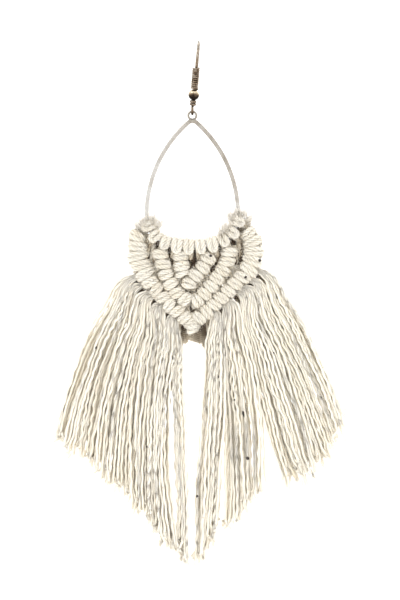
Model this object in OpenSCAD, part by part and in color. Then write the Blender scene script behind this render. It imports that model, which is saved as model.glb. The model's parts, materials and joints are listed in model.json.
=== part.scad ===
// A drop earring: a coiled hook carries a teardrop frame, whose foot holds knotted cord and a long fringe.
// Lengths are in millimetres, with +Z up and the face of the earring towards -Y.
// The origin is the top of the hook's bend, on the middle of its wire, where it sits in the ear.

/* [Ear wire] */
// Thickness of the hook's wire
wire_d = 0.7; // [0.6:0.05:0.8]
// Radius of the bend that goes through the ear
bend_r = 4.5; // [3.5:0.1:5.5]
// Length of the straight leg behind the ear
leg_len = 13; // [9:0.5:15]
// Radius of the bottom loop, on the middle of its wire
loop_r = 1; // [0.95:0.05:1.3]
// Turns that close the loop round its neck
neck_turns = 2; // [1:1:3]
// Straight wire between the coil and the bend
shank_free = 1.4; // [1:0.1:4]
// Sideways lean of the hook above its loop, in degrees
hook_lean = 5.5; // [0:0.5:8]

/* [Coil and bead] */
// Diameter of the round bead
bead_d = 3; // [2.4:0.1:4]
// Thickness of the wire that is coiled round the shank
coil_wire_d = 0.65; // [0.5:0.05:0.8]
// Turns of the coil
coil_turns = 8; // [5:1:10]

/* [Teardrop frame] */
// Width of the frame at its widest place, between the middles of its band
frame_w = 24.8; // [22:0.2:28]
// Height of the frame's tip above its widest place
frame_rise = 25.5; // [22:0.5:30]
// Radius of the frame's tip
tip_r = 1.8; // [1.4:0.1:2.2]
// Radius of the two lower corners
corner_r = 8; // [7:0.5:9]
// Radius of the long curve at the foot
bottom_r = 25; // [20:1:35]
// Width of the flat band, seen from the front
band_w = 1.1; // [0.9:0.1:1.3]
// Thickness of the flat band, front to back
band_t = 0.9; // [0.7:0.1:1.1]
// Radius of the eye on the tip, on the middle of its wire
eye_r = 1.1; // [1:0.05:1.4]
// Thickness of the eye's wire
eye_wire_d = 0.6; // [0.5:0.05:0.7]

/* [Knotted cord] */
// Thickness of the cord
cord_d = 1.6; // [1.4:0.05:1.7]
// Mounting knots side by side on the foot of the frame
mount_knots = 10; // [6:1:10]
// Depth of the point of the outer row below the foot of the frame
point_drop = 21; // [18:0.5:26]
// How far the shoulders of the outer row bulge out past the frame
shoulder_out = 6.6; // [5.5:0.1:8]
// Half width of the outer row where its turns fan out round the shoulders
fan_r = 2.9; // [2.2:0.1:3.2]

/* [Fringe] */
// Spread of the fringe at its foot
fringe_w = 79; // [60:1:100]
// Length of the fringe below the point of the outer row
fringe_l = 63.8; // [40:1:90]
// Width of one lock at its foot
lock_w = 5.4; // [4:0.1:6.5]
// Thickness of one lock, front to back
lock_t = 4; // [2.5:0.1:5]

/* [Hidden] */
KNOT_NAMES = [for (i = [1 : mount_knots]) str("mounting_knot_", i)];

$fn = 48;
metal_gap = 0.05; // between pieces of metal that ride on each other
bend_thin = 0.02; // what a tight bend draws off the metal's thickness
lap = 0.1; // how far a bend runs into the straighter metal beside it
cord_gap = 0.2; // between one run of cord and the next
neck_gap = 0.02; // between the turns that close the loop
wrap_gap = 0.07; // between the band and the cord that is wound round it
turn_gap = 0.1; // between the two turns of a mounting knot, where the frame is bent
lock_lay = 1.4; // how far back every other lock lies
bronze = [0.36, 0.31, 0.27];
silver = [0.86, 0.86, 0.85];
cotton = [0.91, 0.87, 0.80];

// Heights of the stack on the shank, above the middle of the bottom loop
neck_pitch = wire_d + neck_gap;
neck_foot = loop_r + wire_d;
bead_bore_r = wire_d / 2 + metal_gap;
bead_seat = sqrt(pow(bead_d / 2, 2) - pow(bead_bore_r, 2));
bead_z = neck_foot + (neck_turns - 0.5) * neck_pitch + metal_gap + bead_seat;
coil_pitch = coil_wire_d + metal_gap;
coil_foot = bead_z + bead_seat + metal_gap;
coil_top = coil_foot + coil_turns * coil_pitch + coil_wire_d;
coil_r = wire_d / 2 + metal_gap + coil_wire_d / 2;
shank_l = coil_top + shank_free;
bend_lap = lap / bend_r * 180 / PI;

// The hook tilts until its bottom loop hangs plumb under the bend
hook_tilt = atan(bend_r / shank_l);
hook_drop = bend_r + sqrt(pow(bend_r, 2) + pow(shank_l, 2));
loop_at = [-hook_drop * sin(hook_lean), 0, -hook_drop * cos(hook_lean)];

// The eye hangs in the loop, and the tip of the frame is soldered to the eye
eye_z = -(loop_r - wire_d / 2 - metal_gap - eye_wire_d / 2) - eye_r;
solder = 0.75 * eye_wire_d; // how far the tip sinks into the eye
tip_z = eye_z - eye_r - (eye_wire_d + band_w) / 2 + solder;
half_w = frame_w / 2;
wide_z = tip_z - frame_rise;
band_round = 0.22 * band_t;

// The teardrop's arcs touch without a corner, so their radii and angles follow from each other
tip_mid = frame_rise - tip_r;
side_r = (pow(tip_mid, 2) + pow(half_w, 2) - pow(tip_r, 2)) / (2 * (half_w - tip_r));
side_angle = atan2(tip_mid, side_r - half_w);
foot_mid = sqrt(pow(bottom_r - corner_r, 2) - pow(half_w - corner_r, 2));
foot_angle = atan2(half_w - corner_r, foot_mid);
foot_z = wide_z + foot_mid - bottom_r;

// The foot is measured along its middle line from the lowest place, with the right side positive
deg = 180 / PI;
foot_half = bottom_r * foot_angle / deg;
lower_half = foot_half + corner_r * (90 - foot_angle) / deg;
function foot_turn(a) = abs(a) <= foot_half ? a / bottom_r * deg
    : sign(a) * (foot_angle + (abs(a) - foot_half) / corner_r * deg);
function foot_point(a) = let (t = foot_turn(a)) abs(a) <= foot_half
    ? [bottom_r * sin(t), wide_z + foot_mid - bottom_r * cos(t)]
    : [sign(a) * (half_w - corner_r) + corner_r * sin(t), wide_z - corner_r * cos(t)];
function outward(a) = [sin(foot_turn(a)), -cos(foot_turn(a))];
function bend_at(a) = abs(a) <= foot_half ? bottom_r : corner_r;

// Each mounting knot is two turns of cord round the band, thinner where the frame's corner crowds them
band_reach = norm([band_w / 2 - band_round, band_t / 2 - band_round]) + band_round;
wrap_in = band_reach + wrap_gap;
knots_from = -0.91 * lower_half;
knots_to = 0.985 * lower_half;
knot_pitch = (knots_to - knots_from) / mount_knots;
wrap_pitch = knot_pitch / 2;
function wrap_r(a) = let (r = bend_at(a), p = (wrap_pitch - turn_gap) / 2)
    min(0.47 * cord_d, p * (r - wrap_in) / (r + p));
function wrap_reach(a) = wrap_in + 2 * wrap_r(a);

// A row is a leader cord with the other cords wound round it
row_r = 1.32 * cord_d;
row_depth = 1.1 * cord_d;
row_step = 2 * row_r + cord_gap;
tip_rise = 1.42 * row_step;
outer_tip = [0, foot_z - point_drop];
middle_tip = outer_tip + [-0.37 * cord_d, tip_rise];
inner_tip = middle_tip + [-0.25 * cord_d, tip_rise];

// Course of each arm of a V, from under the frame towards its point: how far across (share of half the
// knotwork's width) and how far down (share of the way from the frame's widest place to the lowest point)
ACROSS = 0;
DOWN = 1;
OUTER_LEFT = [[-0.80, 0.21], [-0.81, 0.34], [-0.76, 0.48], [-0.65, 0.60], [-0.51, 0.71], [-0.36, 0.815],
    [-0.18, 0.915]];
OUTER_RIGHT = [[0.85, 0.19], [0.90, 0.31], [0.88, 0.43], [0.77, 0.54], [0.63, 0.64], [0.48, 0.735],
    [0.34, 0.82], [0.18, 0.91]];
MIDDLE_LEFT = [[-0.41, 0.43], [-0.36, 0.55], [-0.265, 0.66], [-0.155, 0.74]];
MIDDLE_RIGHT = [[0.46, 0.43], [0.395, 0.53], [0.295, 0.62], [0.175, 0.705], [0.06, 0.77]];
INNER_LEFT = [[-0.16, 0.45], [-0.11, 0.54]];
INNER_RIGHT = [[0.15, 0.48], [0.06, 0.56]];

// An arm starts under the mounting knots, at a share of the way from the frame's lowest place to its side;
// the more it slants there, the further down it starts
function arm_point(c) = [c[ACROSS] * (half_w + shoulder_out), wide_z + c[DOWN] * (outer_tip.y - wide_z)];
function arm(start, course, tip) = let (a = start * lower_half, n = outward(a),
    top = foot_point(a) + n * (wrap_reach(a) + cord_gap), d = arm_point(course[0]) - top)
    concat([top + n * row_r * abs(cross(n, d)) / norm(d)], [for (c = course) arm_point(c)], [tip]);
outer_left = arm(-0.80, OUTER_LEFT, outer_tip);
outer_right = arm(0.84, OUTER_RIGHT, outer_tip);
middle_left = arm(-0.43, MIDDLE_LEFT, middle_tip);
middle_right = arm(0.50, MIDDLE_RIGHT, middle_tip);
inner_left = arm(-0.175, INNER_LEFT, inner_tip);
inner_right = arm(0.24, INNER_RIGHT, inner_tip);

// A place on a smooth curve through points, at a share of its way
function curve(p, t) = let (n = len(p) - 1, i = min(floor(t * n), n - 1), f = t * n - i,
    a = p[max(i - 1, 0)], b = p[i], c = p[i + 1], d = p[min(i + 2, n)])
    b + f / 2 * (c - a + f * (2 * a - 5 * b + 4 * c - d + f * (3 * (b - c) + d - a)));
function slope(p, t) = let (d = curve(p, min(1, t + 0.01)) - curve(p, max(0, t - 0.01))) d / norm(d);

// The same share for each length run along the curve, as pairs for lookup
function way(p) = let (steps = 40, points = [for (i = [0 : steps]) curve(p, i / steps)])
    [for (i = 0, s = 0; i <= steps; s = s + norm(points[min(i + 1, steps)] - points[i]), i = i + 1)
        [s, i / steps]];
function whole(way) = way[len(way) - 1][0];

// Locks of the fringe, from the outermost to the innermost: where a lock leaves its arm (share of the arm),
// how far it juts out first, where its belly and its foot hang (shares of half the spread), how low its foot
// reaches (share of the fringe's length), and how wide it is (share of lock_w)
ROOT = 0;
JUT = 1;
BELLY_X = 2;
FOOT_X = 3;
FOOT_DROP = 4;
WIDE = 5;
LEFT_LOCKS = [
    [0.385, 0.27, -0.78, -0.885, 0.51, 1.15],
    [0.48, 0.24, -0.68, -0.73, 0.57, 1.15],
    [0.58, 0.22, -0.57, -0.59, 0.65, 1.10],
    [0.645, 0.21, -0.48, -0.46, 0.72, 1.05],
    [0.71, 0.20, -0.38, -0.34, 0.80, 1.00],
    [0.79, 0.19, -0.29, -0.23, 0.87, 0.90],
    [0.87, 0.18, -0.20, -0.15, 0.94, 0.80],
    [0.94, 0.15, -0.07, -0.055, 1.00, 0.70],
];
RIGHT_LOCKS = [
    [0.34, 0.28, 0.86, 1.01, 0.45, 0.95],
    [0.44, 0.25, 0.77, 0.92, 0.56, 1.00],
    [0.53, 0.24, 0.67, 0.81, 0.62, 1.05],
    [0.61, 0.22, 0.53, 0.69, 0.64, 1.10],
    [0.70, 0.20, 0.43, 0.42, 0.74, 1.10],
    [0.77, 0.19, 0.31, 0.30, 0.83, 1.00],
    [0.84, 0.17, 0.19, 0.17, 0.89, 0.95],
    [0.90, 0.14, 0.06, 0.07, 0.97, 0.85],
];

// A lock's middle line bends from its root over the jut and belly to the foot
function bezier(p, t) = pow(1 - t, 3) * p[0] + 3 * t * pow(1 - t, 2) * p[1]
    + 3 * t * t * (1 - t) * p[2] + pow(t, 3) * p[3];
function heading(p, t) = let (d = bezier(p, min(1, t + 0.01)) - bezier(p, max(0, t - 0.01))) d / norm(d);

// Faces of a tube through rings of points, closed at both ends
function tube_faces(rings, sides) = concat(
    [[for (j = [0 : sides - 1]) sides - 1 - j]],
    [for (i = [0 : rings - 2]) for (j = [0 : sides - 1]) let (k = (j + 1) % sides)
        [i * sides + j, i * sides + k, (i + 1) * sides + k, (i + 1) * sides + j]],
    [[for (j = [0 : sides - 1]) (rings - 1) * sides + j]]);

module at_loop() {
    translate(loop_at) children();
}

// The hook's own place: its loop at the origin and its shank straight up
module on_hook() {
    rotate([0, hook_lean, 0]) translate([0, 0, -hook_drop]) rotate([hook_tilt, 0, 0]) children();
}

module ring(r, wire) {
    rotate_extrude() translate([r, 0]) circle(d = wire);
}

module ear_wire() {
    color(bronze) {
        at_loop() rotate([0, 90, 0]) ring(loop_r, wire_d);
        on_hook() {
            translate([0, 0, loop_r]) cylinder(h = shank_l - loop_r, d = wire_d);
            for (i = [0 : neck_turns - 1]) {
                translate([0, 0, neck_foot + i * neck_pitch]) ring(wire_d * 0.8, wire_d);
            }
            translate([0, bend_r, shank_l]) rotate([90, 0, 90]) rotate([0, 0, -bend_lap])
                rotate_extrude(angle = 180 + 2 * bend_lap) translate([bend_r, 0])
                    circle(d = wire_d - bend_thin);
            translate([0, 2 * bend_r, shank_l - leg_len]) cylinder(h = leg_len, d = wire_d);
        }
    }
}

module wire_coil() {
    sides = 6;
    steps = 12;
    rings = coil_turns * steps + 1;
    points = [for (i = [0 : rings - 1]) for (j = [0 : sides - 1])
        let (turn = 360 * i / steps, side = 360 * j / sides, r = coil_r + coil_wire_d / 2 * cos(side))
        [r * cos(turn), r * sin(turn), i / steps * coil_pitch - coil_wire_d / 2 * sin(side)]];
    color(bronze) on_hook() translate([0, 0, coil_foot + coil_wire_d / 2])
        polyhedron(points, tube_faces(rings, sides));
}

module wire_bead() {
    color(bronze) on_hook() translate([0, 0, bead_z]) difference() {
        sphere(d = bead_d);
        cylinder(h = 2 * bead_d, r = bead_bore_r, center = true);
    }
}

module band_section(w, t) {
    square([w - 2 * band_round, t], center = true);
    square([w, t - 2 * band_round], center = true);
    for (x = [-1, 1]) {
        for (y = [-1, 1]) {
            translate([x * (w / 2 - band_round), y * (t / 2 - band_round)]) circle(r = band_round);
        }
    }
}

module band_arc(middle, r, from, to) {
    translate([middle.x, 0, middle.y]) rotate([90, 0, 0]) rotate([0, 0, from])
        rotate_extrude(angle = to - from) translate([r, 0]) band_section(band_w, band_t);
}

// A tight bend of the band, a little thinner than the long arcs that it runs into
module band_bend(middle, r, from, to) {
    more = lap / r * deg;
    translate([middle.x, 0, middle.y]) rotate([90, 0, 0]) rotate([0, 0, from - more])
        rotate_extrude(angle = to - from + 2 * more) translate([r, 0])
            band_section(band_w - bend_thin, band_t - bend_thin);
}

module teardrop_frame() {
    color(silver) at_loop() {
        translate([0, 0, eye_z]) rotate([90, 0, 0]) ring(eye_r, eye_wire_d);
        band_bend([0, wide_z + tip_mid], tip_r, side_angle, 180 - side_angle);
        band_arc([half_w - side_r, wide_z], side_r, 0, side_angle);
        band_arc([side_r - half_w, wide_z], side_r, 180 - side_angle, 180);
        band_bend([half_w - corner_r, wide_z], corner_r, foot_angle - 90, 0);
        band_bend([corner_r - half_w, wide_z], corner_r, 180, 270 - foot_angle);
        band_arc([0, wide_z + foot_mid], bottom_r, 270 - foot_angle, 270 + foot_angle);
    }
}

// One turn of cord round the band, a way along the foot of the frame
module wrap(a) {
    p = foot_point(a);
    translate([p.x, 0, p.y]) rotate([0, 90 - foot_turn(a), 0]) ring(wrap_in + wrap_r(a), 2 * wrap_r(a));
}

module mounting_knot(i) {
    middle = knots_from + (i - 0.5) * knot_pitch;
    p = foot_point(middle) + outward(middle) * (wrap_in + 1.2 * wrap_r(middle));
    bar_r = 0.8 * wrap_r(middle);
    color(cotton) at_loop() {
        for (side = [-1, 1]) {
            wrap(middle + side * wrap_pitch / 2);
        }
        translate([p.x, -wrap_in - 0.3 * wrap_r(middle), p.y]) rotate([0, 90 - foot_turn(middle), 0])
            cylinder(h = wrap_pitch, r = bar_r, center = true);
    }
}

// One turn of cord in a row, as a barrel across the row with narrower rims
module turn(p, angle, wide, deep, long) {
    rim = 0.84;
    disc = 0.0125 * long;
    translate([p.x, 0, p.y]) rotate([0, 90 - angle, 0]) hull() {
        for (s = [-0.5, 0, 0.5]) {
            k = s == 0 ? 1 : rim;
            translate([0, 0, s * long]) linear_extrude(disc, center = true)
                scale([k * wide, k * deep]) circle(r = 1, $fn = 10);
        }
    }
}

// Turns side by side along an arm, which stop short of its end; the turns fan out by bulge near the shoulder
module row(arm, short, bulge) {
    runs = way(arm);
    total = whole(runs) - short;
    turns = round(total / cord_d);
    pitch = total / turns;
    for (i = [0 : turns - 1]) {
        run = (i + 0.5) * pitch;
        t = lookup(run, runs);
        d = slope(arm, t);
        fan = bulge * sin(min(1, run / total / 0.5) * 180);
        long = pitch * (1.06 + 0.2 * fan / cord_d);
        turn(curve(arm, t), atan2(d.y, d.x), row_r + fan, row_depth, long);
    }
}

// One lock of the fringe, flat in section, wider towards its foot and cut to a blunt brush; every other lock
// lies a little further back
module lock(arm, shape, side, back) {
    sides = 8;
    rings = 12;
    brush = 0.96;
    runs = way(arm);
    t0 = lookup(shape[ROOT] * whole(runs), runs);
    root = curve(arm, t0);
    along = slope(arm, t0);
    jut = root + side * [-along.y, along.x] * shape[JUT] * fringe_w / 2;
    foot = [shape[FOOT_X] * fringe_w / 2, outer_tip.y - shape[FOOT_DROP] * fringe_l];
    path = [root, jut, [shape[BELLY_X] * fringe_w / 2, foot.y + 0.45 * (jut.y - foot.y)], foot];
    function wide(t) = shape[WIDE] * lock_w / 2 * (0.5 + 0.5 * min(1, t / 0.55));
    function deep(t) = lock_t / 2 * (0.7 + 0.3 * sin(180 * t));
    function section(t, k) = let (p = bezier(path, t), d = heading(path, t), y = back * min(1, 2 * t))
        [for (j = [0 : sides - 1])
            let (c = cos(360 * j / sides) * wide(t) * k, s = sin(360 * j / sides) * deep(t) * k)
            [p.x - d.y * c, y + s, p.y + d.x * c]];
    points = [for (i = [0 : rings - 1]) each section(brush * i / (rings - 1), 1)];
    polyhedron(points, tube_faces(rings, sides));
    hull() {
        polyhedron(concat(section(brush - 0.01, 1), section(brush, 1)), tube_faces(2, sides));
        polyhedron(concat(section(0.99, 0.7), section(1, 0.6)), tube_faces(2, sides));
    }
}

module locks(arm, shapes, side) {
    for (i = [0 : len(shapes) - 1]) {
        lock(arm, shapes[i], side, (i % 2 - 0.5) * lock_lay);
    }
}

module inner_chevron() {
    color(cotton) at_loop() {
        row(inner_left, 0, 0);
        row(inner_right, 0, 0);
    }
}

module middle_chevron() {
    color(cotton) at_loop() {
        row(middle_left, 0, 0);
        row(middle_right, 0, 0);
    }
}

module fringe_left() {
    color(cotton) at_loop() {
        row(outer_left, 0, fan_r - row_r);
        translate([outer_tip.x, 0, outer_tip.y]) scale([1, row_depth / row_r, 1])
            sphere(r = 0.9 * row_r, $fn = 12);
        locks(outer_left, LEFT_LOCKS, -1);
    }
}

module fringe_right() {
    color(cotton) at_loop() {
        row(outer_right, 1.25 * row_r + cord_gap, fan_r - row_r);
        locks(outer_right, RIGHT_LOCKS, 1);
    }
}

ear_wire();
wire_coil();
wire_bead();
teardrop_frame();
for (i = [1 : mount_knots]) {
    mounting_knot(i);
}
inner_chevron();
middle_chevron();
fringe_left();
fringe_right();
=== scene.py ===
import json
import math
import random

import bmesh
import bpy
import numpy as np
from mathutils import Euler, Matrix, Vector
from mathutils.bvhtree import BVHTree


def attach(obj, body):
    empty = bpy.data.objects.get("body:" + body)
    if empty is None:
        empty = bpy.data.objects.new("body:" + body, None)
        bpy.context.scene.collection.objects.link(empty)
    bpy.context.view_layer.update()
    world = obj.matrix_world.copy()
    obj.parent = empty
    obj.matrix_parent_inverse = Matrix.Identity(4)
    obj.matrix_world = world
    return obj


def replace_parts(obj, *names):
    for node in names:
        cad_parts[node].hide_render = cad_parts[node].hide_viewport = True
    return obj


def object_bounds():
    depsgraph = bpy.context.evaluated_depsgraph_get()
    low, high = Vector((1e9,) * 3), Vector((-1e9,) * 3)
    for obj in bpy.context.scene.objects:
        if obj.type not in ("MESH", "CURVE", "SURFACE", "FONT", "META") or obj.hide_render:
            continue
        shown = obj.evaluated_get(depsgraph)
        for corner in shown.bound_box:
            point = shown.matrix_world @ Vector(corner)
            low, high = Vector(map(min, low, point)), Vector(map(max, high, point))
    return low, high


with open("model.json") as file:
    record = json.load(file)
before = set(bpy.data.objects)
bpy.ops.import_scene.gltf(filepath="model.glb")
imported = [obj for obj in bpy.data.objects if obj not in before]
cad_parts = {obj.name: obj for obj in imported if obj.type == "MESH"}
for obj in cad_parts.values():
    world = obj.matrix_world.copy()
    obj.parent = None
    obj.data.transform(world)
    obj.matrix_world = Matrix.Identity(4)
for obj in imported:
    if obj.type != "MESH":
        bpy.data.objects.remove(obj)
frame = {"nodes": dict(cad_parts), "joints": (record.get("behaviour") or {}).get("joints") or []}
cadBounds = [list(corner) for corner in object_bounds()]
loopAt = Vector(frame["joints"][0]["pos_m"])  # middle of the hook's bottom loop, which the drop hangs from
mm = 0.001
pieces = {}
random.seed(41)
print("frame loaded")


# Materials

def nodeMaterial(name):
    material = bpy.data.materials.new(name)
    material.use_nodes = True
    tree = material.node_tree
    return material, tree, tree.nodes["Principled BSDF"]


def addNode(tree, kind, inputs, settings=None):
    node = tree.nodes.new(kind)
    for key, value in (settings or {}).items():
        setattr(node, key, value)
    for key, value in inputs.items():
        if isinstance(value, bpy.types.NodeSocket):
            tree.links.new(value, node.inputs[key])
        else:
            node.inputs[key].default_value = value
    return node


def colorRamp(tree, factor, stops):
    node = addNode(tree, "ShaderNodeValToRGB", {0: factor})
    elements = node.color_ramp.elements
    while len(elements) < len(stops):
        elements.new(0.5)
    for element, (place, color) in zip(elements, stops):
        element.position = place
        element.color = (*color, 1)
    return node.outputs[0]


def grayRamp(tree, factor, low, high, dark, light):
    return colorRamp(tree, factor, [(low, (dark,) * 3), (high, (light,) * 3)])


def noiseTexture(tree, vector, scale, detail=3, roughness=0.55):
    inputs = {"Vector": vector, "Scale": scale, "Detail": detail, "Roughness": roughness}
    return addNode(tree, "ShaderNodeTexNoise", inputs).outputs[0]


def maths(tree, operation, *values):
    return addNode(tree, "ShaderNodeMath", dict(enumerate(values)), {"operation": operation}).outputs[0]


def weighted(tree, parts):
    # the sum of some sockets, each times its share
    total = maths(tree, "MULTIPLY", *parts[0])
    for socket, share in parts[1:]:
        total = maths(tree, "MULTIPLY_ADD", socket, share, total)
    return total


def addBump(tree, shader, height, strength, distance):
    # distance in mm
    inputs = {"Height": height, "Strength": strength, "Distance": distance * mm}
    bump = addNode(tree, "ShaderNodeBump", inputs)
    tree.links.new(bump.outputs[0], shader.inputs["Normal"])


cottonLook = {
    # from the painted shade deep behind the knots to the cotton that is combed out
    "colors": [(0.02, (0.075, 0.052, 0.036)), (0.22, (0.66, 0.57, 0.44)), (0.47, (0.885, 0.805, 0.665)),
               (0.8, (0.93, 0.87, 0.755))],
    "tone": 0.42, "patches": 0.30, "ply": 0.14, "hairs": 0.22,  # what the colour depends on, as shares
    "cloud": 260,
    "combed": (0.8, 9, 90),  # how fine the hairs are along a yarn, round it and from yarn to yarn
    "hairScale": 2.6,
    "fleck": (0.30, 0.21, 0.13), "flecks": 1900, "fleckFrom": 0.725, "fleckTo": 0.76, "fleckMost": 0.5,
    "paintedDepthShade": 0.13,  # painted shade: how much paler the front and the back are than the middle, for each mm of depth
    "shadeDepth": 1.8,  # where that ends
    "bump": 0.75, "relief": 0.7,
    "rough": 0.92, "specular": 0.15, "sheen": 0.03, "sheenRough": 0.6,
    "glowThrough": 0.8, "glowReach": (1.0, 1.0, 1.0),  # light that spreads inside the cotton, reach in mm
}


def makeCotton(name, turns, depth):
    # turns: of the ply for each mm of yarn; depth: of the grooves between the plies, in mm
    look = cottonLook
    material, tree, shader = nodeMaterial(name)
    place = addNode(tree, "ShaderNodeTexCoord", {}).outputs
    along, around, _ = addNode(tree, "ShaderNodeSeparateXYZ", {0: place["UV"]}).outputs
    tone = addNode(tree, "ShaderNodeAttribute", {}, {"attribute_name": "tone"}).outputs["Fac"]
    spin = maths(tree, "MULTIPLY_ADD", along, turns, around)
    wave = maths(tree, "SINE", maths(tree, "MULTIPLY", spin, 4 * math.pi))  # two plies to a yarn
    ply = maths(tree, "MULTIPLY_ADD", wave, 0.5, 0.5)
    combed = {}
    for axis, socket in enumerate((along, around, tone)):
        combed[axis] = maths(tree, "MULTIPLY", socket, look["combed"][axis])
    combed = addNode(tree, "ShaderNodeCombineXYZ", combed).outputs[0]
    hairs = noiseTexture(tree, combed, look["hairScale"], detail=4, roughness=0.7)
    cloud = noiseTexture(tree, place["Object"], look["cloud"])
    # the ply share darkens the grooves between the plies in the colour: painted shade
    parts = [(tone, look["tone"]), (cloud, look["patches"]), (ply, look["ply"]), (hairs, look["hairs"])]
    body = colorRamp(tree, weighted(tree, parts), look["colors"])
    specks = noiseTexture(tree, place["Object"], look["flecks"], detail=1, roughness=0.3)
    specks = grayRamp(tree, specks, look["fleckFrom"], look["fleckTo"], 0, look["fleckMost"])
    color = addNode(tree, "ShaderNodeMix", {}, {"data_type": "RGBA"})
    tree.links.new(specks, color.inputs[0])
    tree.links.new(body, color.inputs[6])
    color.inputs[7].default_value = (*look["fleck"], 1)
    tree.links.new(color.outputs[2], shader.inputs["Base Color"])
    relief = weighted(tree, [(ply, look["relief"]), (hairs, look["relief"])])
    addBump(tree, shader, relief, look["bump"], depth)
    shader.inputs["Roughness"].default_value = look["rough"]
    shader.inputs["Specular IOR Level"].default_value = look["specular"]
    shader.inputs["Sheen Weight"].default_value = look["sheen"]
    shader.inputs["Sheen Roughness"].default_value = look["sheenRough"]
    shader.inputs["Subsurface Weight"].default_value = look["glowThrough"]
    shader.inputs["Subsurface Radius"].default_value = look["glowReach"]
    shader.inputs["Subsurface Scale"].default_value = mm
    return material


metalLook = {
    "patches": 0.75, "grain": 0.25,  # shares in the colour
    "roughFrom": 0.3, "roughTo": 0.7, "bumpDepth": 0.02,
}


def makeMetal(name, look):
    material, tree, shader = nodeMaterial(name)
    place = addNode(tree, "ShaderNodeTexCoord", {}).outputs
    cloud = noiseTexture(tree, place["Object"], look["cloud"], detail=5, roughness=0.65)
    grain = noiseTexture(tree, place["Object"], look["grain"], detail=4, roughness=0.7)
    across, _, height = addNode(tree, "ShaderNodeSeparateXYZ", {0: place["Object"]}).outputs
    # where the surface faces up its colour is made paler: painted light from above
    paintedTopLight = addNode(tree, "ShaderNodeSeparateXYZ", {0: place["Normal"]}).outputs[2]
    parts = [(cloud, metalLook["patches"]), (grain, metalLook["grain"]), (across, look["lean"]),
             (height, look["rise"]), (paintedTopLight, look["paintedTopLight"])]
    tree.links.new(colorRamp(tree, weighted(tree, parts), look["colors"]), shader.inputs["Base Color"])
    rough = grayRamp(tree, cloud, metalLook["roughFrom"], metalLook["roughTo"], *look["rough"])
    tree.links.new(rough, shader.inputs["Roughness"])
    addBump(tree, shader, grain, look["bump"], metalLook["bumpDepth"])
    shader.inputs["Metallic"].default_value = 1
    return material


# lean, rise and the up-facing share: how much paler for each metre across and for each metre up, and where it
# faces up, which is painted light from above
bronzeLook = {
    "cloud": 900, "grain": 5200, "rough": (0.16, 0.34), "bump": 0.3, "lean": 0, "rise": 4, "paintedTopLight": 0.12,
    "colors": [(0.26, (0.02, 0.014, 0.010)), (0.45, (0.19, 0.138, 0.095)), (0.64, (0.44, 0.41, 0.36))],
}
# the bead's cream top and near-black underside are a painted highlight and painted shade
beadLook = {
    "cloud": 500, "grain": 5200, "rough": (0.07, 0.18), "bump": 0.12, "lean": 0, "rise": 0, "paintedTopLight": 0.46,
    "colors": [(0.28, (0.014, 0.010, 0.008)), (0.45, (0.13, 0.095, 0.065)), (0.55, (0.46, 0.37, 0.26)),
               (0.68, (0.86, 0.75, 0.57))],
}
silverLook = {
    "cloud": 300, "grain": 6400, "rough": (0.18, 0.32), "bump": 0.12, "lean": -8, "rise": -8, "paintedTopLight": 0.04,
    "colors": [(0.45, (0.16, 0.14, 0.12)), (0.65, (0.31, 0.285, 0.25)), (0.8, (0.42, 0.40, 0.375)),
               (1, (0.5, 0.495, 0.48))],
}
huskLook = {
    "cloud": 3000, "grain": 5000, "rough": 0.6, "bump": 0.6, "bumpDepth": 0.03,
    "colors": [(0.35, (0.010, 0.008, 0.007)), (0.65, (0.05, 0.036, 0.026))],
}


def makeSeedHusk():
    material, tree, shader = nodeMaterial("seedHusk")
    place = addNode(tree, "ShaderNodeTexCoord", {}).outputs["Object"]
    color = colorRamp(tree, noiseTexture(tree, place, huskLook["cloud"]), huskLook["colors"])
    tree.links.new(color, shader.inputs["Base Color"])
    grain = noiseTexture(tree, place, huskLook["grain"])
    addBump(tree, shader, grain, huskLook["bump"], huskLook["bumpDepth"])
    shader.inputs["Roughness"].default_value = huskLook["rough"]
    return material


materials = {
    "cord": makeCotton("cottonCord", turns=0.9, depth=0.14),
    "yarn": makeCotton("cottonYarn", turns=1.1, depth=0.12),
    "fluff": makeCotton("cottonFluff", turns=0.2, depth=0.02),
    "bronze": makeMetal("agedBronze", bronzeLook),
    "bead": makeMetal("polishedBronze", beadLook),
    "silver": makeMetal("silverPlate", silverLook),
    "husk": makeSeedHusk(),
}
print("materials made")


# Cords, yarns and wires, all made as curves

sections = {"hair": (3, 1.0), "yarn": (6, 0.9), "wire": (12, 1.0)}  # sides, flatness
tubeLook = {"cap": 0.4, "weld": 2e-8}  # reach of the pointed end, a share of the radius; in metres


def linkPiece(name, data):
    piece = bpy.data.objects.new(name, data)
    bpy.context.scene.collection.objects.link(piece)
    return piece


def smoothMesh(name, work):
    mesh = bpy.data.meshes.new(name)
    work.to_mesh(mesh)
    work.free()
    mesh.polygons.foreach_set("use_smooth", [True] * len(mesh.polygons))
    return mesh


def scatter(spread):
    return Vector([random.gauss(0, spread) for _ in range(3)])


def forEach(tone, count):
    return tone if isinstance(tone, list) else [tone] * count


def makeSection(name):
    sides, flat = sections[name]
    curve = bpy.data.curves.new(name + "Section", "CURVE")
    spline = curve.splines.new("POLY")
    spline.points.add(sides - 1)
    spline.use_cyclic_u = True
    for i, point in enumerate(spline.points):
        angle = -2 * math.pi * i / sides  # clockwise, so that the tube faces outwards
        point.co = (math.cos(angle), flat * math.sin(angle), 0, 1)
    return linkPiece(name + "Section", curve)


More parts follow.
